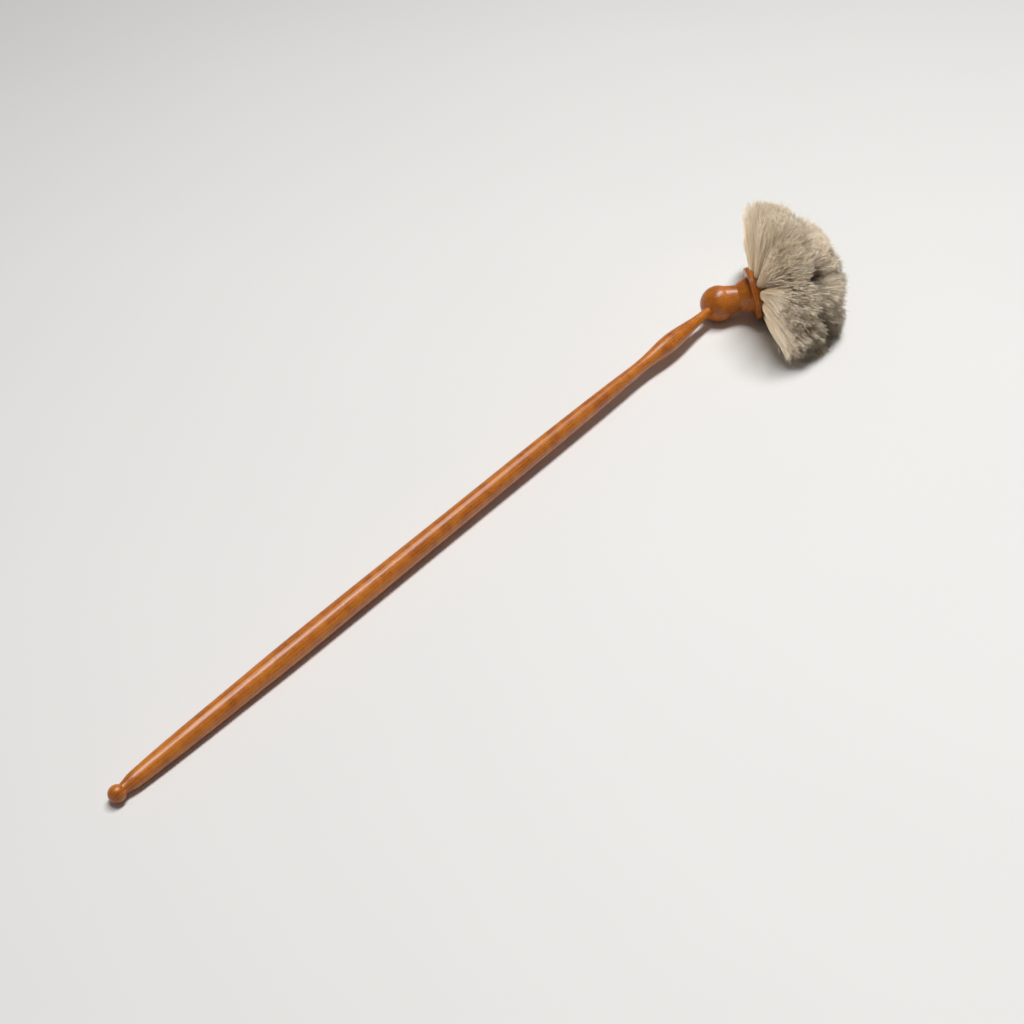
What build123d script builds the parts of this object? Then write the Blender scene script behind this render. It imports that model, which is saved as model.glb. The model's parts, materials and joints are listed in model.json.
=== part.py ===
"""Long-handled soft brush: a turned beech handle, a turned beech head and a dome of goat hair.

The row frame has +X along the handle, from its finial to the head, and +Z up. The brush lies on
its side: the handle's belly, the head's ball and the hair touch the ground plane.
"""
from build123d import *
from math import asin, cos, radians, sin, sqrt
import os

# ---- driving dimensions, in millimetres and degrees ----

handle_length = 719.2        # finial centre to the centre of the head's ball
belly_radius = 9.0           # turned from 18 mm stock
belly_start = 160.0          # straight stretch of the belly, from the finial's centre
belly_length = 50.0
finial_radius = 6.3
finial_height = 6.9          # of its centre above the ground, as the brush lies
finial_neck_radius = 4.2
waist_radius = 5.85
waist_place = 597.0
bulge_radius = 8.45
bulge_place = 640.0
entry_radius = 4.35          # the handle where its tapered end begins
entry_place = 701.2
tenon_tip_radius = 3.6       # end of the tapered end, inside the head
tenon_tip_place = 727.2
taper_clearance = 0.05       # push fit, all round

ball_radius = 17.0
head_neck_radius = 12.4      # crease between the ball's neck and the cup
head_neck_place = 19.8       # places along the head's axis, from the ball's centre
cup_radius = 16.5
flange_radius = 25.0
head_tilt = 15.9             # head's axis above the ground
head_turn = 44.5             # head's axis from the handle's, seen from above
head_flange_back = 31.2
head_flange_front = 33.4
block_rim_front = 35.6
recess_radius = 18.55        # shallow recess that takes the block's register ring and the wire
recess_depth = 1.0

register_outer_radius = 18.5
register_inner_radius = 16.9
register_height = 0.8
dome_radius = 22.0           # the block's dome, that the hair stands on
hair_centre = 31.2           # centre of the dome and of the hair's fan, from the ball's centre
hole_radius = 3.5
hole_bottom = 17.0           # from the hair's centre
wire_hole_radius = 1.0
wire_radius = 0.3

tuft_root_radius = 3.45
tuft_root_start = 17.1       # from the hair's centre
tuft_flare_start = 22.4
tuft_tip_radius = 19.9
tuft_side_end = 85.5
hair_radius = 91.0           # the hair's rounded tips, from the hair's centre

# How many tufts stand in each ring, how far they splay, and the first one's turn from straight up.
rings = [(1, 0.0, 0.0), (6, 32.0, 22.0), (12, 66.0, 7.0)]

# ---- derived directions and planes ----

# The handle's belly lies on the ground, and its axis runs on up to the middle of the head's ball.
belly_middle = belly_start + belly_length / 2
handle_rise = asin((ball_radius - finial_height) / handle_length)
ball_centre = Vector(0, 0, ball_radius)
handle_dir = Vector(cos(handle_rise), 0, sin(handle_rise))
finial_centre = ball_centre - handle_dir * handle_length
handle_axis = Axis(finial_centre, handle_dir)
handle_profile_plane = Plane(origin=finial_centre, x_dir=handle_dir, z_dir=(0, -1, 0))

head_dir = Vector(
    cos(radians(head_tilt)) * cos(radians(head_turn)),
    -cos(radians(head_tilt)) * sin(radians(head_turn)),
    sin(radians(head_tilt)),
)
head_axis = Axis(ball_centre, head_dir)
head_side = head_dir.cross(Vector(0, 0, 1)).normalized()   # level, square to the head's axis
head_up = head_side.cross(head_dir)
head_profile_plane = Plane(origin=ball_centre, x_dir=head_dir, z_dir=head_side)
head_front_plane = Plane(origin=ball_centre + head_dir * head_flange_front, x_dir=head_up, z_dir=head_dir)
hair_origin = ball_centre + head_dir * hair_centre


def tuft_direction(splay, turn):
    """Direction of a tuft that leans by splay from the head's axis, turned from straight up."""
    outwards = head_up * cos(radians(turn)) + head_side * sin(radians(turn))
    return head_dir * cos(radians(splay)) + outwards * sin(radians(splay))


tuft_places = [
    (splay, first_turn + 360 / count * number)
    for count, splay, first_turn in rings
    for number in range(count)
]

# ---- handle: turned in one piece, finial to tapered end ----

finial_neck_place = finial_radius * 0.72
finial_neck_join = sqrt(finial_radius**2 - finial_neck_place**2)
belly_end = belly_start + belly_length

with BuildPart() as handle:
    with BuildSketch(handle_profile_plane):
        with BuildLine():
            finial_arc = ThreePointArc(
                (-finial_radius, 0), (0, finial_radius), (finial_neck_place, finial_neck_join)
            )
            neck = Spline(
                finial_arc @ 1,
                (7.0, finial_neck_radius + 0.25),
                (11.0, 5.4),
                (20.0, 6.3),
                tangents=[(1, -0.35), (1, 0.05)],
            )
            grip = Spline(
                neck @ 1,
                (54.0, 7.45),
                (90.0, 8.05),
                (125.0, 8.55),
                (belly_start, belly_radius),
                tangents=[(1, 0.05), (1, 0)],
            )
            belly = Line(grip @ 1, (belly_end, belly_radius))
            Spline(
                belly @ 1,
                (330.0, 8.45),
                (440.0, 8.2),
                (512.0, 7.45),
                (568.0, 6.3),
                (waist_place, waist_radius),
                (616.0, 7.05),
                (628.0, 8.1),
                (bulge_place, bulge_radius),
                (652.0, 7.9),
                (667.0, 6.5),
                (682.0, 5.05),
                (entry_place, entry_radius),
                tangents=[(1, 0), (1, -0.03)],
            )
            Line((entry_place, entry_radius), (tenon_tip_place, tenon_tip_radius))
            Line((tenon_tip_place, tenon_tip_radius), (tenon_tip_place, 0))
            Line((tenon_tip_place, 0), (-finial_radius, 0))
        make_face()
    revolve(axis=handle_axis)
handle.part.label = "handle"

# ---- head: ball, neck, cup and the back layer of the flange ----

ball_end_place = 8.0         # where the ball runs into the neck
ball_end_radius = sqrt(ball_radius**2 - ball_end_place**2)
socket_taper = (entry_radius - tenon_tip_radius) / (tenon_tip_place - entry_place)
socket_start = handle_length - ball_radius - 3.0
socket_end = tenon_tip_place + 0.5
socket_start_radius = entry_radius + socket_taper * (entry_place - socket_start) + taper_clearance
socket_end_radius = entry_radius - socket_taper * (socket_end - entry_place) + taper_clearance

with BuildPart() as head_body:
    with BuildSketch(head_profile_plane):
        with BuildLine():
            ThreePointArc(
                (-ball_radius, 0), (0, ball_radius), (ball_end_place, ball_end_radius)
            )
            Spline(
                (ball_end_place, ball_end_radius),
                (12.0, 13.8),
                (head_neck_place, head_neck_radius),
                tangents=[(1, -0.53), (1, -0.03)],
            )
            Spline(
                (head_neck_place, head_neck_radius),
                (22.6, 13.9),
                (26.0, 15.4),
                (head_flange_back, cup_radius),
                tangents=[(1, 0.62), (1, 0.06)],
            )
            Line((head_flange_back, cup_radius), (head_flange_back, flange_radius - 0.9))
            ThreePointArc(
                (head_flange_back, flange_radius - 0.9),
                (head_flange_back + 0.26, flange_radius - 0.26),
                (head_flange_back + 0.9, flange_radius),
            )
            Line((head_flange_back + 0.9, flange_radius), (head_flange_front - 0.3, flange_radius))
            Line((head_flange_front - 0.3, flange_radius), (head_flange_front, flange_radius - 0.3))
            Line((head_flange_front, flange_radius - 0.3), (head_flange_front, recess_radius))
            Line((head_flange_front, recess_radius), (head_flange_front - recess_depth, recess_radius))
            Line((head_flange_front - recess_depth, recess_radius), (head_flange_front - recess_depth, 0))
            Line((head_flange_front - recess_depth, 0), (-ball_radius, 0))
        make_face()
    revolve(axis=head_axis)
    with BuildSketch(handle_profile_plane):
        with BuildLine():
            Polyline(
                (socket_start, 0),
                (socket_start, socket_start_radius),
                (socket_end, socket_end_radius),
                (socket_end, 0),
                close=True,
            )
        make_face()
    revolve(axis=handle_axis, mode=Mode.SUBTRACT)
head_body.part.label = "head_body"

# ---- block: the flange's front layer and the dome that holds the hair ----

dome_foot_radius = sqrt(dome_radius**2 - (block_rim_front - hair_centre) ** 2)
dome_tip = hair_centre + dome_radius
dome_slant = radians(45)

with BuildPart() as brush_block:
    with BuildSketch(head_profile_plane):
        with BuildLine():
            Polyline(
                (dome_tip, 0),
                (head_flange_front, 0),
                (head_flange_front, register_inner_radius),
                (head_flange_front - register_height, register_inner_radius),
                (head_flange_front - register_height, register_outer_radius),
                (head_flange_front, register_outer_radius),
                (head_flange_front, flange_radius - 0.3),
                (head_flange_front + 0.3, flange_radius),
                (block_rim_front - 0.9, flange_radius),
            )
            ThreePointArc(
                (block_rim_front - 0.9, flange_radius),
                (block_rim_front - 0.26, flange_radius - 0.26),
                (block_rim_front, flange_radius - 0.9),
            )
            Line((block_rim_front, flange_radius - 0.9), (block_rim_front, dome_foot_radius))
            ThreePointArc(
                (block_rim_front, dome_foot_radius),
                (hair_centre + dome_radius * cos(dome_slant), dome_radius * sin(dome_slant)),
                (dome_tip, 0),
            )
        make_face()
    revolve(axis=head_axis)
    for splay, turn in tuft_places:
        tuft_plane = Plane(origin=hair_origin, z_dir=tuft_direction(splay, turn))
        with BuildSketch(tuft_plane.offset(hole_bottom)):
            Circle(hole_radius)
        extrude(amount=dome_radius, mode=Mode.SUBTRACT)
        hole_bottom_height = hair_centre - head_flange_front + hole_bottom * cos(radians(splay))
        with BuildSketch(head_front_plane):
            with Locations((
                hole_bottom * sin(radians(splay)) * cos(radians(turn)),
                hole_bottom * sin(radians(splay)) * sin(radians(turn)),
            )):
                Circle(wire_hole_radius)
        extrude(amount=hole_bottom_height + wire_hole_radius, mode=Mode.SUBTRACT)
brush_block.part.label = "brush_block"

# ---- wire: drawn from hole to hole over the block's back, under the head ----

wire_plane = head_front_plane.offset(-wire_radius - 0.01)
wire_places = tuft_places[:7] + tuft_places[18:] + tuft_places[7:18]
wire_stops = [
    (
        hole_bottom * sin(radians(splay)) * cos(radians(turn)),
        hole_bottom * sin(radians(splay)) * sin(radians(turn)),
    )
    for splay, turn in wire_places
]

with BuildPart() as draw_wire:
    with BuildLine(wire_plane) as wire_route:
        FilletPolyline(*wire_stops, radius=1.2)
    with BuildSketch(Plane(origin=wire_route.line @ 0, z_dir=wire_route.line % 0)):
        Circle(wire_radius)
    sweep(path=wire_route.line)
draw_wire.part.label = "draw_wire"

# ---- hair: one tuft to each hole, fanning out to a dome and lying flat on the ground ----

tip_height = hair_radius - tuft_side_end
tip_radius = (tuft_tip_radius**2 + tip_height**2) / (2 * tip_height)
tip_centre = hair_radius - tip_radius
tip_half_angle = asin(tuft_tip_radius / tip_radius) / 2

tufts = []
for number, (splay, turn) in enumerate(tuft_places, start=1):
    direction = tuft_direction(splay, turn)
    square_to_tuft = direction.cross(tuft_direction(splay + 90, turn))
    with BuildPart() as tuft:
        with BuildSketch(Plane(origin=hair_origin, x_dir=direction, z_dir=square_to_tuft)):
            with BuildLine():
                Line((tuft_root_start, 0), (tuft_root_start, tuft_root_radius))
                Line((tuft_root_start, tuft_root_radius), (tuft_flare_start, tuft_root_radius))
                ThreePointArc(
                    (tuft_flare_start, tuft_root_radius), (50.0, 11.2), (tuft_side_end, tuft_tip_radius)
                )
                ThreePointArc(
                    (tuft_side_end, tuft_tip_radius),
                    (tip_centre + tip_radius * cos(tip_half_angle), tip_radius * sin(tip_half_angle)),
                    (hair_radius, 0),
                )
                Line((hair_radius, 0), (tuft_root_start, 0))
            make_face()
        revolve(axis=Axis(hair_origin, direction))
        if tuft.part.bounding_box().min.Z < 0:
            split(bisect_by=Plane.XY, keep=Keep.TOP)
    tuft.part.label = f"hair_tuft_{number:02d}"
    tufts.append(tuft)

# ---- row frame: the origin is the middle of the whole brush's box, on the ground ----

pieces = [handle, head_body, brush_block, draw_wire, *tufts]
corners = [piece.part.bounding_box() for piece in pieces]
middle_x = (min(box.min.X for box in corners) + max(box.max.X for box in corners)) / 2
middle_y = (min(box.min.Y for box in corners) + max(box.max.Y for box in corners)) / 2

os.makedirs("parts", exist_ok=True)
for piece in pieces:
    piece.part.move(Location((-middle_x, -middle_y, 0)))
    export_step(piece.part, f"parts/{piece.part.label}.step")
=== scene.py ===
"""Bee brush: the looks of a long-handled goat-hair brush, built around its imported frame.

The handle, head and block keep their CAD meshes and get a stained and lacquered beech. Every
bundle of hair is grown strand by strand and stands for its CAD solid. Everything is in metres.
"""

import json
import math

import bpy
from bpy.props import FloatProperty, FloatVectorProperty, IntProperty, PointerProperty
from mathutils import Matrix, Vector


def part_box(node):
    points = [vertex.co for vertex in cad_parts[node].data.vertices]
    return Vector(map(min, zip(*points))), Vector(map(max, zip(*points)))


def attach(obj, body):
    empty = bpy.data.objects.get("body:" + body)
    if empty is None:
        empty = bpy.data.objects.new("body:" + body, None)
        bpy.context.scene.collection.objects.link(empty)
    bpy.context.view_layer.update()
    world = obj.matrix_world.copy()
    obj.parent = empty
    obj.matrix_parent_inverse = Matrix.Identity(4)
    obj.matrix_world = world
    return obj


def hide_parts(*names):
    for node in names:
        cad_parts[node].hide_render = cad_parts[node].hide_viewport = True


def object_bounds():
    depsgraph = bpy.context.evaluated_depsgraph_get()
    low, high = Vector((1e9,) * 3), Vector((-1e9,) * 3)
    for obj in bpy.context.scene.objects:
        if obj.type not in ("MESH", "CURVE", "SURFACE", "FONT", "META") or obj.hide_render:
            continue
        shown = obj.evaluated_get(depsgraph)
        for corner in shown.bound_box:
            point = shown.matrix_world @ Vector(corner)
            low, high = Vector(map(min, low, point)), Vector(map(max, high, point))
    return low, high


bl_info = {
    "name": "Bee brush",
    "version": (1, 0, 0),
    "blender": (4, 5, 0),
    "location": "3D View > Sidebar > Bee brush",
    "description": "Finishes the wood, grows the hair and sets the stage for a bee brush",
    "category": "Object",
}

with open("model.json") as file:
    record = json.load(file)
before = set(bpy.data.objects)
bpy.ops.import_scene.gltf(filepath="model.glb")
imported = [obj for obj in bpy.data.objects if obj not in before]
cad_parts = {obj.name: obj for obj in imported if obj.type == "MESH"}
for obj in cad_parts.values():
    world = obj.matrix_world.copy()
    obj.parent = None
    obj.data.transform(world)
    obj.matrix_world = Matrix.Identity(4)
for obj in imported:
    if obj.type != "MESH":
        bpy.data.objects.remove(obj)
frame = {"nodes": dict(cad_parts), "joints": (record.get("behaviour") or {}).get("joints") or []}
cad_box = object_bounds()

MM = 0.001

# ---- places worked out from the frame ----

BALL_RADIUS = 17 * MM        # the head's ball, which touches its node's box on three sides
HAIR_CENTRE = 31.2 * MM      # from the ball's centre to the point that the hair fans out from
TUFT_RINGS = ((1, 0, 0), (6, 32, 22), (12, 66, 7))   # tufts, lean and first one's turn, degrees

HOLE_RADIUS = 3.4 * MM       # of the bundle where it stands in its drilled hole
HOLE_BOTTOM = 17.3 * MM      # from the point that the hair fans out from to the bottom of a hole
HOLE_MOUTH = 19 * MM         # and to where the bundle begins to widen
FAN = 0.31                   # how much the bundle's radius grows for each unit of length past there
UPRIGHT_LEAN = 4             # degrees less that a tuft leans if it stands straight up
UPRIGHT_COMBING = 0.75       # share of the locks and waves that such a tuft loses

STRAND_FRIZZ_SPREAD = 4.0    # frizzes that the wildest strands stray beyond the calmest's half a one
TIP_RADIUS = 0.08            # a strand's radius at its tip, as a share of its width at the root

AIM_SHIFT = Vector((-26.8, 16.5, 0)) * MM   # from the brush's middle to where the camera looks

head_low, head_high = (Vector(corner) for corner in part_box("head_body"))
ball_centre = Vector((head_low.x + BALL_RADIUS, head_high.y - BALL_RADIUS, head_low.z + BALL_RADIUS))
handle_dir = Vector(frame["joints"][0]["axis"]).normalized()


def farthest_vertex(node, point):
    """The vertex of a CAD node that lies farthest from a point."""
    return max((v.co for v in frame["nodes"][node].data.vertices), key=lambda co: (co - point).length)


# The middle tuft stands on the head's axis, and its rounded tip is its farthest point.
head_dir = (farthest_vertex("hair_tuft_01", ball_centre) - ball_centre).normalized()
head_side = head_dir.cross(Vector((0, 0, 1))).normalized()
head_up = head_side.cross(head_dir)
hair_origin = ball_centre + head_dir * HAIR_CENTRE


def tuft_direction(lean, turn):
    """Direction of a tuft that leans from the head's axis, turned round it from straight up."""
    outwards = head_up * math.cos(math.radians(turn)) + head_side * math.sin(math.radians(turn))
    return head_dir * math.cos(math.radians(lean)) + outwards * math.sin(math.radians(lean))


# ---- small helpers ----


def linear(hex_colour):
    """An sRGB hex colour as the linear red, green and blue that shaders take."""
    parts = [int(hex_colour[place:place + 2], 16) / 255 for place in (0, 2, 4)]
    return tuple(part / 12.92 if part <= 0.04045 else ((part + 0.055) / 1.055) ** 2.4 for part in parts)


def add_node(tree, kind, inputs=(), stops=(), **settings):
    """Adds a node with its settings. Inputs go by place or by name, as values, sockets or nodes.

    Stops are the places and linear colours of a colour ramp.
    """
    node = tree.nodes.new(kind)
    for name, value in settings.items():
        setattr(node, name, value)
    for place, value in inputs.items() if isinstance(inputs, dict) else enumerate(inputs):
        if isinstance(place, str):
            socket = next(s for s in node.inputs if s.name == place and s.enabled)
        else:
            socket = node.inputs[place]
        if isinstance(value, bpy.types.Node):
            value = next(s for s in value.outputs if s.enabled)
        if isinstance(value, bpy.types.NodeSocket):
            tree.links.new(value, socket)
        else:
            socket.default_value = value
    if stops:
        elements = node.color_ramp.elements
        while len(elements) < len(stops):
            elements.new(0.5)
        for element, (place, colour) in zip(elements, stops):
            element.position = place
            element.color = (*colour[:3], 1)
    return node


def new_material(name):
    """An empty node material and its tree."""
    material = bpy.data.materials.new(name)
    material.use_nodes = True
    material.node_tree.nodes.clear()
    return material, material.node_tree


# ---- sizes and colours that a user would change ----


class BrushWoodSettings(bpy.types.PropertyGroup):
    """The stain and lacquer of the turned beech."""

    stain: FloatVectorProperty(
        name="Stain", description="Colour of the stained beech", subtype="COLOR",
        size=3, min=0, max=1, default=linear("C47016"),
    )
    dark_stain: FloatVectorProperty(
        name="Dark stain", description="Colour where the grain took more stain", subtype="COLOR",
        size=3, min=0, max=1, default=linear("9C4D0B"),
    )
    fleck_length: FloatProperty(
        name="Fleck length", description="Length of the beech's ray flecks", subtype="DISTANCE",
        unit="LENGTH", min=0.001, max=0.02, default=3.5 * MM,
    )
    gloss: FloatProperty(
        name="Gloss", description="How much the satin lacquer shines", subtype="FACTOR",
        min=0, max=1, default=0.6,
    )


class BrushHairSettings(bpy.types.PropertyGroup):
    """The goat hair and how it lies."""

    strands: IntProperty(
        name="Strands", description="Strands in each tuft", min=50, max=4000, default=2000,
    )
    joints: IntProperty(
        name="Joints", description="Straight runs along each strand", min=2, max=12, default=6,
    )
    strand_width: FloatProperty(
        name="Strand width", description="Thickness of a strand at its root", subtype="DISTANCE",
        unit="LENGTH", min=0.00005, max=0.001, default=0.26 * MM,
    )
    reach: FloatProperty(
        name="Reach", description="The longest tips, from the point that the hair fans out from",
        subtype="DISTANCE", unit="LENGTH", min=0.04, max=0.12, default=92 * MM,
    )
    locks: FloatProperty(
        name="Locks", description="Locks across half a tuft, where strands stick together at the tips",
        min=1, max=10, default=4.2,
    )
    lock_pull: FloatProperty(
        name="Lock pull", description="How far the strands of a lock close up at its tip",
        subtype="FACTOR", min=0, max=1, default=0.3,
    )
    unevenness: FloatProperty(
        name="Unevenness", description="How much shorter the shortest locks are",
        subtype="FACTOR", min=0, max=0.6, default=0.1,
    )
    wave: FloatProperty(
        name="Wave", description="How far a lock strays from a straight line at its tip",
        subtype="DISTANCE", unit="LENGTH", min=0, max=0.03, default=3.5 * MM,
    )
    frizz: FloatProperty(
        name="Frizz", description="How far a single strand strays at its tip",
        subtype="DISTANCE", unit="LENGTH", min=0, max=0.02, default=5 * MM,
    )
    sag: FloatProperty(
        name="Sag", description="How far the tips hang down under their own weight",
        subtype="DISTANCE", unit="LENGTH", min=0, max=0.03, default=6 * MM,
    )
    pile: FloatProperty(
        name="Pile", description="Depth of the hair that lies flat on the ground",
        subtype="DISTANCE", unit="LENGTH", min=0.001, max=0.03, default=7 * MM,
    )
    root_colour: FloatVectorProperty(
        name="Root colour", description="Colour of the hair near the wood", subtype="COLOR",
        size=3, min=0, max=1, default=linear("EFDFC2"),
    )
    tip_colour: FloatVectorProperty(
        name="Tip colour", description="Colour of the hair's tips", subtype="COLOR",
        size=3, min=0, max=1, default=linear("F9EFDD"),
    )


class BrushStageSettings(bpy.types.PropertyGroup):
    """The floor, the light and the camera."""

    floor_colour: FloatVectorProperty(
        name="Floor", description="Colour of the pale floor", subtype="COLOR",
        size=3, min=0, max=1, default=linear("F0EEEB"),
    )
    key_power: FloatProperty(
        name="Key light", description="Power of the large soft light behind the handle",
        subtype="POWER", unit="POWER", min=0, max=5000, default=535,
    )
    hair_power: FloatProperty(
        name="Hair light", description="Power of the lamp that lights the hair alone",
        subtype="POWER", unit="POWER", min=0, max=100, default=25,
    )
    sky_strength: FloatProperty(
        name="Fill", description="Strength of the even light from all round", min=0, max=5, default=0.14,
    )
    camera_turn: FloatProperty(
        name="Camera turn", description="Direction that the camera looks in, from +X, seen from above",
        subtype="ANGLE", unit="ROTATION", default=math.radians(39.42),
    )
    camera_pitch: FloatProperty(
        name="Camera pitch", description="How far the camera looks down", subtype="ANGLE",
        unit="ROTATION", default=math.radians(42.64),
    )
    camera_distance: FloatProperty(
        name="Camera distance", description="From the camera to the point on the floor that it looks at",
        subtype="DISTANCE", unit="LENGTH", min=0.1, max=10, default=1.1556,
    )


# ---- materials ----


def lacquered_beech(name, settings, axis, centre):
    """Turned beech, stained orange-brown and sprayed with a satin lacquer.

    It gives the eye fine fibres and short dark ray flecks along the turning, soft bands of
    growth rings, a stain that is cloudy over a centimetre or so, and one clean soft highlight.
    """
    material, tree = new_material(name)
    along = axis.to_track_quat("X", "Z").to_matrix().inverted()
    place = add_node(tree, "ShaderNodeMapping", {
        "Vector": add_node(tree, "ShaderNodeTexCoord").outputs["Object"],
        "Location": -(along @ centre),
        "Rotation": along.to_euler(),
    })
    # Fibres about 1 mm wide and 60 mm long: wider than real ones, so that they show.
    fibres = add_node(tree, "ShaderNodeTexNoise", {
        "Vector": add_node(tree, "ShaderNodeVectorMath", [place, (1 / 60, 1 / 1.1, 1 / 1.1)],
                           operation="MULTIPLY"),
        "Scale": 1 / MM, "Detail": 4.0, "Roughness": 0.6,
    })
    # Ray flecks: short dashes along the grain, 0.8 mm wide.
    fleck_mm = settings.fleck_length / MM
    flecks = add_node(tree, "ShaderNodeTexNoise", {
        "Vector": add_node(tree, "ShaderNodeVectorMath", [place, (1 / fleck_mm, 1 / 0.8, 1 / 0.8)],
                           operation="MULTIPLY"),
        "Scale": 1 / MM, "Detail": 1.0,
    })
    fleck_mask = add_node(tree, "ShaderNodeMapRange", {
        "Value": flecks, "From Min": 0.60, "From Max": 0.72, "To Min": 0.0, "To Max": 1.0,
    })
    # Growth rings 2.4 mm apart round a pith 30 mm off the turning's axis, wandering slowly along it.
    wander = add_node(tree, "ShaderNodeTexNoise", {
        "Vector": add_node(tree, "ShaderNodeVectorMath", [place, (1 / 90, 1 / 30, 1 / 30)],
                           operation="MULTIPLY"),
        "Scale": 1 / MM, "Detail": 2.0,
    })
    from_pith = add_node(tree, "ShaderNodeVectorMath", [
        add_node(tree, "ShaderNodeVectorMath", [
            add_node(tree, "ShaderNodeVectorMath", [place, (0, 1, 1)], operation="MULTIPLY"),
            (0, 30 * MM, 12 * MM),
        ], operation="ADD"),
    ], operation="LENGTH")
    ring_place = add_node(tree, "ShaderNodeMath", [
        from_pith.outputs["Value"], 2 * math.pi / (2.4 * MM),
        add_node(tree, "ShaderNodeMath", [wander, 16.0], operation="MULTIPLY"),
    ], operation="MULTIPLY_ADD")
    rings = add_node(tree, "ShaderNodeMath", [
        add_node(tree, "ShaderNodeMath", [ring_place], operation="SINE"), 0.5, 0.5,
    ], operation="MULTIPLY_ADD")
    # The stain is cloudy over 12 mm, and mottled down to half a millimetre.
    clouds = add_node(tree, "ShaderNodeTexNoise", {"Vector": place, "Scale": 1 / (12 * MM), "Detail": 5.0})
    grain = add_node(tree, "ShaderNodeMath", [
        fibres, 0.24, add_node(tree, "ShaderNodeMath", [
            clouds, 0.44, add_node(tree, "ShaderNodeMath", [rings, 0.06], operation="MULTIPLY"),
        ], operation="MULTIPLY_ADD"),
    ], operation="MULTIPLY_ADD")
    wood_colour = add_node(tree, "ShaderNodeValToRGB", [grain], stops=(
        (0.24, settings.dark_stain), (0.40, settings.stain), (0.62, linear("D98731")),
    ))
    colour = add_node(tree, "ShaderNodeMix", {
        "Factor": add_node(tree, "ShaderNodeMath", [fleck_mask, 0.45], operation="MULTIPLY"),
        "A": wood_colour, "B": (*linear("5A2407"), 1),
    }, data_type="RGBA")
    height = add_node(tree, "ShaderNodeMath", [
        fibres, add_node(tree, "ShaderNodeMath", [fleck_mask, 0.4], operation="MULTIPLY"),
    ], operation="SUBTRACT")
    bump = add_node(tree, "ShaderNodeBump", {"Strength": 0.12, "Distance": 0.05 * MM, "Height": height})
    roughness = add_node(tree, "ShaderNodeMapRange", {
        "Value": clouds, "From Min": 0.3, "From Max": 0.7, "To Min": 0.42, "To Max": 0.52,
    })
    shader = add_node(tree, "ShaderNodeBsdfPrincipled", {
        "Base Color": colour,
        "Roughness": roughness, "IOR": 1.5, "Specular IOR Level": 0.25, "Normal": bump,
        "Coat Weight": settings.gloss, "Coat Roughness": 0.3, "Coat IOR": 1.5,
    })
    add_node(tree, "ShaderNodeOutputMaterial", {"Surface": shader})
    return material


def drawn_brass():
    """Drawn brass wire: a dull yellow metal with faint drawing lines along it."""
    material, tree = new_material("drawn_brass_wire")
    position = add_node(tree, "ShaderNodeTexCoord").outputs["Object"]
    tarnish = add_node(tree, "ShaderNodeTexNoise", {"Vector": position, "Scale": 1 / (2 * MM), "Detail": 3.0})
    colour = add_node(tree, "ShaderNodeValToRGB", [tarnish], stops=(
        (0.35, linear("8F7437")), (0.65, linear("C9A65A")),
    ))
    lines = add_node(tree, "ShaderNodeTexNoise", {"Vector": position, "Scale": 1 / (0.2 * MM)})
    roughness = add_node(tree, "ShaderNodeMapRange", {
        "Value": lines, "From Min": 0.3, "From Max": 0.7, "To Min": 0.28, "To Max": 0.5,
    })
    shader = add_node(tree, "ShaderNodeBsdfPrincipled", {
        "Base Color": colour, "Roughness": roughness, "Metallic": 1.0,
    })
    add_node(tree, "ShaderNodeOutputMaterial", {"Surface": shader})
    return material


def goat_hair(settings):
    """Washed, undyed goat hair: soft, dull, a grey beige that pales to the tips, no two locks alike."""
    material, tree = new_material("undyed_goat_hair")
    along = add_node(tree, "ShaderNodeAttribute", attribute_name="along").outputs["Fac"]
    shade = add_node(tree, "ShaderNodeAttribute", attribute_name="shade").outputs["Fac"]
    length_colour = add_node(tree, "ShaderNodeValToRGB", [along], stops=(
        (0.0, linear("D8C4A4")), (0.2, settings.root_colour), (0.9, settings.tip_colour),
    ))
    tone = add_node(tree, "ShaderNodeMapRange", {
        "Value": shade, "From Min": 0.0, "From Max": 1.0, "To Min": 0.78, "To Max": 1.05,
    })
    colour = add_node(tree, "ShaderNodeVectorMath", {"Vector": length_colour, "Scale": tone},
                      operation="SCALE")
    dull = add_node(tree, "ShaderNodeBsdfPrincipled", {
        "Base Color": colour, "Roughness": 0.62, "IOR": 1.45, "Sheen Weight": 0.25,
        "Sheen Roughness": 0.5,
    })
    # Light passes through a strand about as much as it comes back, which keeps the bundle soft.
    through = add_node(tree, "ShaderNodeBsdfTranslucent", {"Color": colour})
    shader = add_node(tree, "ShaderNodeMixShader", [0.5, dull, through])
    add_node(tree, "ShaderNodeOutputMaterial", {"Surface": shader})
    return material


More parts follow.
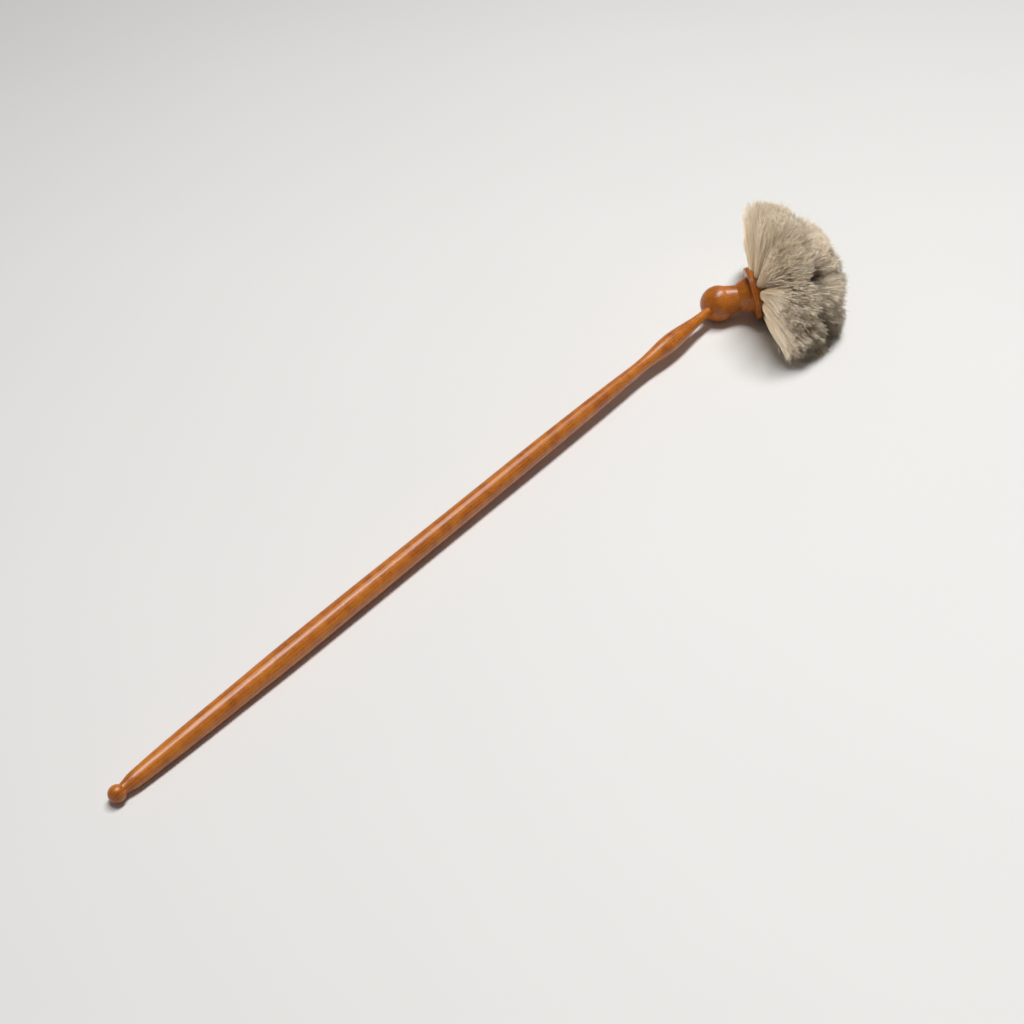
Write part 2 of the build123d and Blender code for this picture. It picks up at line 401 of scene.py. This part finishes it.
def painted_floor(settings):
    """Matt painted board: a pale grey with a trace of mottle, and a painted pool of light that fades gently
    away from its front.
    """
    material, tree = new_material("matt_painted_board")
    position = add_node(tree, "ShaderNodeTexCoord").outputs["Object"]
    mottle = add_node(tree, "ShaderNodeTexNoise", {"Vector": position, "Scale": 3.0, "Detail": 2.0})
    pale = settings.floor_colour
    board = add_node(tree, "ShaderNodeValToRGB", [mottle], stops=(
        (0.3, [part * 0.985 for part in pale]), (0.7, pale),
    ))
    # A pool of light is painted into the board's colour. It is palest 0.56 m from the brush's middle, at its
    # front, and about an eighth darker 1 m on. Far off this painted falloff levels out at 0.6 of its full
    # brightness.
    from_painted_light = add_node(tree, "ShaderNodeVectorMath", [position, (0.15, -0.54, 0)],
                          operation="DISTANCE").outputs["Value"]
    painted_light_falloff = add_node(tree, "ShaderNodeMath", [
        add_node(tree, "ShaderNodeMath", [
            add_node(tree, "ShaderNodeMath", [from_painted_light, 2.0], operation="POWER"), -0.135, 1.0,
        ], operation="MULTIPLY_ADD"), 0.6, 0.2,
    ], operation="SMOOTH_MAX")
    # The painted light falloff scales the board's colour.
    colour = add_node(tree, "ShaderNodeVectorMath", {"Vector": board, "Scale": painted_light_falloff}, operation="SCALE")
    shader = add_node(tree, "ShaderNodeBsdfPrincipled", {
        "Base Color": colour, "Roughness": 0.85, "Specular IOR Level": 0.2,
    })
    add_node(tree, "ShaderNodeOutputMaterial", {"Surface": shader})
    return material


# ---- hair ----


def tuft_tree():
    """The node tree that grows one tuft.

    Strands start in a drilled hole, fan out to a dome round the hair's origin, close up into
    locks of uneven length, and bend along the ground where they would go through it.
    """
    tree = bpy.data.node_groups.new("goat_hair_tuft", "GeometryNodeTree")
    for name, kind in (
        ("Strands", "Int"), ("Joints", "Int"), ("Seed", "Int"), ("Strand Width", "Float"),
        ("Hole Radius", "Float"), ("Hole Bottom", "Float"), ("Hole Mouth", "Float"),
        ("Fan", "Float"), ("Reach", "Float"), ("Locks", "Float"), ("Lock Pull", "Float"),
        ("Unevenness", "Float"), ("Wave", "Float"), ("Frizz", "Float"), ("Sag", "Float"), ("Pile", "Float"),
        ("Origin", "Vector"), ("Rotation", "Vector"), ("Material", "Material"),
    ):
        tree.interface.new_socket(name, in_out="INPUT", socket_type=f"NodeSocket{kind}")
    tree.interface.new_socket("Geometry", in_out="OUTPUT", socket_type="NodeSocketGeometry")
    given = add_node(tree, "NodeGroupInput").outputs

    # One straight strand of unit length stands on each point of a unit disc, thinning to its edge.
    index = add_node(tree, "GeometryNodeInputIndex")
    golden_turn = add_node(tree, "ShaderNodeMath", [index, math.pi * (3 - math.sqrt(5))],
                           operation="MULTIPLY")
    from_middle = add_node(tree, "ShaderNodeMath", [
        add_node(tree, "ShaderNodeMath", [
            add_node(tree, "ShaderNodeMath", [index, 0.5], operation="ADD"), given["Strands"],
        ], operation="DIVIDE"), 0.6,
    ], operation="POWER")
    disc_place = add_node(tree, "ShaderNodeVectorMath", {
        "Vector": add_node(tree, "ShaderNodeCombineXYZ", [
            add_node(tree, "ShaderNodeMath", [golden_turn], operation="COSINE"),
            add_node(tree, "ShaderNodeMath", [golden_turn], operation="SINE"),
        ]),
        "Scale": from_middle,
    }, operation="SCALE")
    points = add_node(tree, "GeometryNodePoints", {"Count": given["Strands"], "Position": disc_place})
    strand = add_node(tree, "GeometryNodeResampleCurve", {
        "Curve": add_node(tree, "GeometryNodeCurvePrimitiveLine", {"End": (0, 0, 1)}),
        "Count": add_node(tree, "ShaderNodeMath", [given["Joints"], 1.0], operation="ADD"),
    })
    strands = add_node(tree, "GeometryNodeRealizeInstances", [
        add_node(tree, "GeometryNodeInstanceOnPoints", {"Points": points, "Instance": strand}),
    ])

    # Each point of a strand now has its place on the disc in X and Y, and how far along it is in Z.
    place = add_node(tree, "GeometryNodeInputPosition")
    along = add_node(tree, "ShaderNodeSeparateXYZ", [place]).outputs["Z"]
    disc = add_node(tree, "ShaderNodeVectorMath", [place, (1, 1, 0)], operation="MULTIPLY")
    seed_shift = add_node(tree, "ShaderNodeVectorMath", {
        "Vector": (7.31, 3.17, 0), "Scale": given["Seed"],
    }, operation="SCALE")
    seeded = add_node(tree, "ShaderNodeVectorMath", [disc, seed_shift], operation="ADD")
    lock = add_node(tree, "ShaderNodeTexVoronoi", {"Vector": seeded, "Scale": given["Locks"]},
                    voronoi_dimensions="2D")
    lock_middle = add_node(tree, "ShaderNodeVectorMath", [lock.outputs["Position"], seed_shift],
                           operation="SUBTRACT")
    lock_chance = add_node(tree, "ShaderNodeSeparateXYZ", [lock.outputs["Color"]])
    strand_chance = add_node(tree, "ShaderNodeTexWhiteNoise", {"Vector": seeded})

    # Strands close up towards the middle of their lock.
    closing = add_node(tree, "ShaderNodeMath", [
        add_node(tree, "ShaderNodeMath", [along, 1.3], operation="POWER"), given["Lock Pull"],
    ], operation="MULTIPLY")
    gathered = add_node(tree, "ShaderNodeMix", {"Factor": closing, "A": disc, "B": lock_middle},
                        data_type="VECTOR")

    # Distance from the hair's origin: locks, and strands a little, are of uneven length, and the
    # tuft's end is rounded, with its outer strands up to 6 percent short.
    rounding = add_node(tree, "ShaderNodeMath", [
        add_node(tree, "ShaderNodeVectorMath", [disc], operation="LENGTH").outputs["Value"], 3.0,
    ], operation="POWER")
    shorter = add_node(tree, "ShaderNodeMath", [
        add_node(tree, "ShaderNodeMath", [lock_chance.outputs["X"], 2.0], operation="POWER"),
        given["Unevenness"],
        add_node(tree, "ShaderNodeMath", [
            add_node(tree, "ShaderNodeMath", [strand_chance.outputs["Value"], 3.0], operation="POWER"),
            0.2,
        ], operation="MULTIPLY"),
    ], operation="MULTIPLY_ADD")
    kept = add_node(tree, "ShaderNodeMath", [
        rounding, -0.06, add_node(tree, "ShaderNodeMath", [1.0, shorter], operation="SUBTRACT"),
    ], operation="MULTIPLY_ADD")
    full_length = add_node(tree, "ShaderNodeMath", [given["Reach"], given["Hole Bottom"]],
                           operation="SUBTRACT")
    distance = add_node(tree, "ShaderNodeMath", [
        add_node(tree, "ShaderNodeMath", [full_length, kept], operation="MULTIPLY"),
        along, given["Hole Bottom"],
    ], operation="MULTIPLY_ADD")

    # Out of the hole the tuft widens evenly.
    past_mouth = add_node(tree, "ShaderNodeMath", [
        add_node(tree, "ShaderNodeMath", [distance, given["Hole Mouth"]], operation="SUBTRACT"), 0.0,
    ], operation="MAXIMUM")
    width = add_node(tree, "ShaderNodeMath", [past_mouth, given["Fan"], given["Hole Radius"]],
                     operation="MULTIPLY_ADD")
    ray = add_node(tree, "ShaderNodeVectorMath", [
        add_node(tree, "ShaderNodeVectorMath", {"Vector": gathered, "Scale": width}, operation="SCALE"),
        add_node(tree, "ShaderNodeCombineXYZ", {"Z": distance}),
    ], operation="ADD")
    fanned = add_node(tree, "ShaderNodeVectorMath", {
        "Vector": add_node(tree, "ShaderNodeVectorMath", [ray], operation="NORMALIZE"),
        "Scale": distance,
    }, operation="SCALE")

    # Locks wave as one, and single strands stray, more and more towards the tips.
    wave_noise = add_node(tree, "ShaderNodeTexNoise", {
        "Vector": add_node(tree, "ShaderNodeVectorMath", [
            add_node(tree, "ShaderNodeVectorMath", {"Vector": lock.outputs["Position"], "Scale": 5.0},
                     operation="SCALE"),
            add_node(tree, "ShaderNodeCombineXYZ", {"Z": along}),
        ], operation="ADD"),
        "Scale": 1.3, "Detail": 0.0,
    })
    # A few strands stray far more than the rest, which leaves the tuft's outline soft.
    strand_frizz = add_node(tree, "ShaderNodeMath", [
        given["Frizz"],
        add_node(tree, "ShaderNodeMath", [
            add_node(tree, "ShaderNodeMath", [
                add_node(tree, "ShaderNodeSeparateXYZ", [strand_chance.outputs["Color"]]).outputs["Y"], 3.0,
            ], operation="POWER"),
            STRAND_FRIZZ_SPREAD, 0.5,
        ], operation="MULTIPLY_ADD"),
    ], operation="MULTIPLY")
    frizz_noise = add_node(tree, "ShaderNodeTexNoise", {
        "Vector": add_node(tree, "ShaderNodeVectorMath", [
            add_node(tree, "ShaderNodeVectorMath", {"Vector": seeded, "Scale": 40.0}, operation="SCALE"),
            add_node(tree, "ShaderNodeCombineXYZ", {"Z": along}),
        ], operation="ADD"),
        "Scale": 1.8, "Detail": 0.0,
    })
    strayed = fanned
    for noise, amount, power in ((wave_noise, given["Wave"], 2.0), (frizz_noise, strand_frizz, 1.4)):
        share = add_node(tree, "ShaderNodeMath", [
            add_node(tree, "ShaderNodeMath", [along, power], operation="POWER"), amount,
        ], operation="MULTIPLY")
        centred = add_node(tree, "ShaderNodeVectorMath", [noise.outputs["Color"], (0.5, 0.5, 0.5)],
                           operation="SUBTRACT")
        strayed = add_node(tree, "ShaderNodeVectorMath", [
            strayed,
            add_node(tree, "ShaderNodeVectorMath", {"Vector": centred, "Scale": share}, operation="SCALE"),
        ], operation="ADD")

    # From the tuft's own frame to the brush's.
    turned = add_node(tree, "ShaderNodeVectorRotate", {"Vector": strayed, "Rotation": given["Rotation"]},
                      rotation_type="EULER_XYZ")
    hanging = add_node(tree, "ShaderNodeMath", [
        add_node(tree, "ShaderNodeMath", [along, 2.0], operation="POWER"),
        add_node(tree, "ShaderNodeMath", [given["Sag"], -1.0], operation="MULTIPLY"),
    ], operation="MULTIPLY")
    placed = add_node(tree, "ShaderNodeVectorMath", [
        add_node(tree, "ShaderNodeVectorMath", [turned, given["Origin"]], operation="ADD"),
        add_node(tree, "ShaderNodeCombineXYZ", {"Z": hanging}),
    ], operation="ADD")

    # A point below its layer of the pile comes up to it, and slides on by the length that bending
    # the strand flat sets free: depth times the tangent of half the angle at which it dips.
    heading = add_node(tree, "ShaderNodeVectorMath", [turned], operation="NORMALIZE")
    rise = add_node(tree, "ShaderNodeSeparateXYZ", [heading]).outputs["Z"]
    level = add_node(tree, "ShaderNodeVectorMath", [heading, (1, 1, 0)], operation="MULTIPLY")
    level_share = add_node(tree, "ShaderNodeVectorMath", [level], operation="LENGTH").outputs["Value"]
    layer = add_node(tree, "ShaderNodeMath", [
        strand_chance.outputs["Value"], given["Pile"], given["Strand Width"],
    ], operation="MULTIPLY_ADD")
    height = add_node(tree, "ShaderNodeSeparateXYZ", [placed]).outputs["Z"]
    depth = add_node(tree, "ShaderNodeMath", [
        add_node(tree, "ShaderNodeMath", [layer, height], operation="SUBTRACT"), 0.0, 6 * MM,
    ], operation="SMOOTH_MAX")
    half_tangent = add_node(tree, "ShaderNodeMath", [
        add_node(tree, "ShaderNodeMath", [rise, -1.0], operation="MULTIPLY"),
        add_node(tree, "ShaderNodeMath", [level_share, 1.0], operation="ADD"),
    ], operation="DIVIDE")
    slide = add_node(tree, "ShaderNodeMath", [
        add_node(tree, "ShaderNodeMath", [depth, half_tangent], operation="MULTIPLY"),
        add_node(tree, "ShaderNodeMath", [level_share, 0.05], operation="MAXIMUM"),
    ], operation="DIVIDE")
    lifted = add_node(tree, "ShaderNodeVectorMath", [
        placed,
        add_node(tree, "ShaderNodeVectorMath", [
            add_node(tree, "ShaderNodeVectorMath", {
                "Vector": level,
                "Scale": add_node(tree, "ShaderNodeMath", [slide, 0.0], operation="MAXIMUM"),
            }, operation="SCALE"),
            add_node(tree, "ShaderNodeCombineXYZ", {"Z": depth}),
        ], operation="ADD"),
    ], operation="ADD")

    # The material reads how far along its strand a point is, and how light its lock is.
    shade = add_node(tree, "ShaderNodeMath", [
        add_node(tree, "ShaderNodeMath", [lock_chance.outputs["Y"], 0.6], operation="MULTIPLY"),
        add_node(tree, "ShaderNodeMath", [strand_chance.outputs["Value"], 0.4], operation="MULTIPLY"),
    ], operation="ADD")
    marked = strands
    for name, value in (("along", along), ("shade", shade)):
        marked = add_node(tree, "GeometryNodeStoreNamedAttribute", {
            "Geometry": marked, "Name": name, "Value": value,
        }, data_type="FLOAT", domain="POINT")
    taper = add_node(tree, "ShaderNodeMath", [
        add_node(tree, "ShaderNodeMath", [along, 2.0], operation="POWER"), TIP_RADIUS - 0.5, 0.5,
    ], operation="MULTIPLY_ADD")
    bent = add_node(tree, "GeometryNodeSetPosition", {"Geometry": marked, "Position": lifted})
    solid = add_node(tree, "GeometryNodeCurveToMesh", {
        "Curve": bent,
        "Profile Curve": add_node(tree, "GeometryNodeCurvePrimitiveCircle", {
            "Resolution": 3, "Radius": 1.0,
        }),
        "Scale": add_node(tree, "ShaderNodeMath", [taper, given["Strand Width"]], operation="MULTIPLY"),
        "Fill Caps": True,
    })
    smooth = add_node(tree, "GeometryNodeSetShadeSmooth", [solid])
    realised = add_node(tree, "GeometryNodeRealizeInstances", [smooth])
    finished = add_node(tree, "GeometryNodeSetMaterial", {
        "Geometry": realised, "Material": given["Material"],
    })
    add_node(tree, "NodeGroupOutput", [finished])
    return tree


def grow(tree, name, inputs):
    """Runs a tree with its named inputs and returns the result as a plain mesh object."""
    seedbed = bpy.data.objects.new(f"{name}_seedbed", bpy.data.meshes.new(f"{name}_seedbed"))
    bpy.context.collection.objects.link(seedbed)
    modifier = seedbed.modifiers.new("grow", "NODES")
    modifier.node_group = tree
    for item in tree.interface.items_tree:
        if item.in_out == "INPUT":
            modifier[item.identifier] = inputs[item.name]
    evaluated = seedbed.evaluated_get(bpy.context.evaluated_depsgraph_get())
    mesh = bpy.data.meshes.new_from_object(evaluated)
    mesh.name = name
    bpy.data.objects.remove(seedbed)
    grown = bpy.data.objects.new(name, mesh)
    bpy.context.collection.objects.link(grown)
    return grown


# ---- stage ----


def lay_floor(stage, middle):
    """A floor under the brush that runs well past the view."""
    bpy.ops.mesh.primitive_plane_add(size=30, location=(middle.x, middle.y, 0))
    floor = bpy.context.object
    floor.name = "floor"
    floor.data.materials.append(painted_floor(stage))


def fill_room(stage):
    """Even, slightly cool light from all round."""
    world = bpy.data.worlds.new("soft_room")
    world.use_nodes = True
    world.node_tree.nodes.clear()
    sky = add_node(world.node_tree, "ShaderNodeBackground", {
        "Color": (*linear("F2F4F7"), 1), "Strength": stage.sky_strength,
    })
    add_node(world.node_tree, "ShaderNodeOutputWorld", {"Surface": sky})
    bpy.context.scene.world = world


def hang_key_panel(stage, middle):
    """The key light: a long panel high behind the brush, with its length along the handle.

    It draws one highlight down the handle and lays the shadows to the front.
    """
    key = bpy.data.lights.new("key_panel", "AREA")
    key.shape = "RECTANGLE"
    key.size = 5.0
    key.size_y = 1.5
    key.energy = stage.key_power
    panel = bpy.data.objects.new("key_panel", key)
    away = Vector((1.9, 0.6, 7.0))
    panel.location = middle + away
    across = away.cross(Vector((1, 0, 0))).normalized()
    panel.rotation_euler = Matrix(
        (across.cross(away.normalized()), across, away.normalized())
    ).transposed().to_euler()
    bpy.context.collection.objects.link(panel)


def light_hair(stage):
    """A lamp that lights nothing but the hair.

    It stands in for the light that thousands of finer hairs than are built would hand on.
    """
    scatter = bpy.data.lights.new("hair_scatter", "AREA")
    scatter.size = 0.7
    scatter.energy = stage.hair_power
    scatter.color = linear("FFFBF6")
    lamp = bpy.data.objects.new("hair_scatter", scatter)
    lamp.location = hair_origin + Vector((-0.6, 0.42, 0.9))
    lamp.rotation_euler = (hair_origin - lamp.location).to_track_quat("-Z", "Y").to_euler()
    lamp.light_linking.receiver_collection = bpy.data.collections["hair"]
    bpy.context.collection.objects.link(lamp)


def place_camera(stage, middle):
    """A 50 mm camera that looks down on the brush from the handle's side."""
    turn, pitch = stage.camera_turn, stage.camera_pitch
    looks = Vector((
        math.cos(turn) * math.cos(pitch), math.sin(turn) * math.cos(pitch), -math.sin(pitch),
    ))
    aim = Vector((middle.x, middle.y, 0)) + AIM_SHIFT
    lens = bpy.data.cameras.new("camera")
    lens.lens = 50
    lens.sensor_width = 36
    lens.clip_end = 100
    camera = bpy.data.objects.new("camera", lens)
    camera.location = aim - looks * stage.camera_distance
    camera.rotation_euler = looks.to_track_quat("-Z", "Y").to_euler()
    bpy.context.collection.objects.link(camera)
    bpy.context.scene.camera = camera


# ---- one operator for each piece or group of like pieces, and one for the stage ----


class BRUSH_OT_finish_handle(bpy.types.Operator):
    """Stain and lacquer the turned handle"""

    bl_idname = "bee_brush.finish_handle"
    bl_label = "Finish handle"

    def execute(self, context):
        beech = lacquered_beech("lacquered_beech_handle", context.scene.brush_wood, handle_dir, ball_centre)
        frame["nodes"]["handle"].material_slots[0].material = beech
        return {"FINISHED"}


class BRUSH_OT_finish_head(bpy.types.Operator):
    """Stain and lacquer the turned head and the block that holds the hair"""

    bl_idname = "bee_brush.finish_head"
    bl_label = "Finish head"

    def execute(self, context):
        # The block is turned from another piece of wood, so its grain is taken from 0.2 m further on.
        for node, shift in (("head_body", 0.0), ("brush_block", 0.2)):
            centre = ball_centre + head_dir * shift
            beech = lacquered_beech(f"lacquered_beech_{node}", context.scene.brush_wood, head_dir, centre)
            frame["nodes"][node].material_slots[0].material = beech
        return {"FINISHED"}


class BRUSH_OT_finish_wire(bpy.types.Operator):
    """Give the drawing wire inside the head its brass"""

    bl_idname = "bee_brush.finish_wire"
    bl_label = "Finish wire"

    def execute(self, context):
        frame["nodes"]["draw_wire"].material_slots[0].material = drawn_brass()
        return {"FINISHED"}


class BRUSH_OT_grow_hair(bpy.types.Operator):
    """Grow the tufts of goat hair, strand by strand, in place of their CAD solids"""

    bl_idname = "bee_brush.grow_hair"
    bl_label = "Grow hair"

    def execute(self, context):
        hair = context.scene.brush_hair
        tree = tuft_tree()
        material = goat_hair(hair)
        hair_group = bpy.data.collections.new("hair")
        places = [(lean, first + 360 / count * k) for count, lean, first in TUFT_RINGS for k in range(count)]
        for number, (lean, turn) in enumerate(places, start=1):
            # Tufts that stand up lean a little less than their holes, and are combed smoother.
            upright = max(tuft_direction(lean, turn).z, 0)
            direction = tuft_direction(lean - UPRIGHT_LEAN * upright, turn)
            combed = 1 - UPRIGHT_COMBING * upright
            tuft = grow(tree, f"goat_hair_{number:02d}", {
                "Strands": hair.strands, "Joints": hair.joints, "Seed": number,
                "Strand Width": hair.strand_width, "Hole Radius": HOLE_RADIUS,
                "Hole Bottom": HOLE_BOTTOM, "Hole Mouth": HOLE_MOUTH, "Fan": FAN,
                "Reach": hair.reach, "Locks": hair.locks, "Lock Pull": hair.lock_pull * combed,
                "Unevenness": hair.unevenness * combed, "Wave": hair.wave * combed,
                "Frizz": hair.frizz, "Sag": hair.sag, "Pile": hair.pile, "Origin": hair_origin,
                "Rotation": Vector(direction.to_track_quat("Z", "Y").to_euler()), "Material": material,
            })
            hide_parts(f"hair_tuft_{number:02d}")
            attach(tuft, "brush_head")
            hair_group.objects.link(tuft)
        return {"FINISHED"}


class BRUSH_OT_set_stage(bpy.types.Operator):
    """Lay the pale floor, hang the soft lights and place the camera"""

    bl_idname = "bee_brush.set_stage"
    bl_label = "Set stage"

    def execute(self, context):
        stage = context.scene.brush_stage
        low, high = (Vector(corner) for corner in cad_box)
        middle = (low + high) / 2
        lay_floor(stage, middle)
        fill_room(stage)
        hang_key_panel(stage, middle)
        light_hair(stage)
        place_camera(stage, middle)
        context.scene.view_settings.view_transform = "Standard"
        return {"FINISHED"}


class BRUSH_PT_panel(bpy.types.Panel):
    """The steps that finish the brush, in order"""

    bl_idname = "BRUSH_PT_panel"
    bl_label = "Bee brush"
    bl_space_type = "VIEW_3D"
    bl_region_type = "UI"
    bl_category = "Bee brush"

    def draw(self, context):
        for operator in OPERATORS:
            self.layout.operator(operator.bl_idname)
        for settings in (context.scene.brush_wood, context.scene.brush_hair, context.scene.brush_stage):
            column = self.layout.column()
            for name in settings.__annotations__:
                column.prop(settings, name)


SETTINGS = {
    "brush_wood": BrushWoodSettings,
    "brush_hair": BrushHairSettings,
    "brush_stage": BrushStageSettings,
}
OPERATORS = (
    BRUSH_OT_finish_handle,
    BRUSH_OT_finish_head,
    BRUSH_OT_finish_wire,
    BRUSH_OT_grow_hair,
    BRUSH_OT_set_stage,
)


def register():
    """Registers the settings, the operators and the panel."""
    for name, settings in SETTINGS.items():
        bpy.utils.register_class(settings)
        setattr(bpy.types.Scene, name, PointerProperty(type=settings))
    for shown in (*OPERATORS, BRUSH_PT_panel):
        bpy.utils.register_class(shown)


def unregister():
    """Takes out what register put in, in the opposite order."""
    for shown in (BRUSH_PT_panel, *reversed(OPERATORS)):
        bpy.utils.unregister_class(shown)
    for name, settings in SETTINGS.items():
        delattr(bpy.types.Scene, name)
        bpy.utils.unregister_class(settings)


def main():
    """Builds the looks in order."""
    register()
    bpy.ops.bee_brush.finish_handle()
    bpy.ops.bee_brush.finish_head()
    bpy.ops.bee_brush.finish_wire()
    bpy.ops.bee_brush.grow_hair()
    bpy.ops.bee_brush.set_stage()


if __name__ == "__main__":
    main()
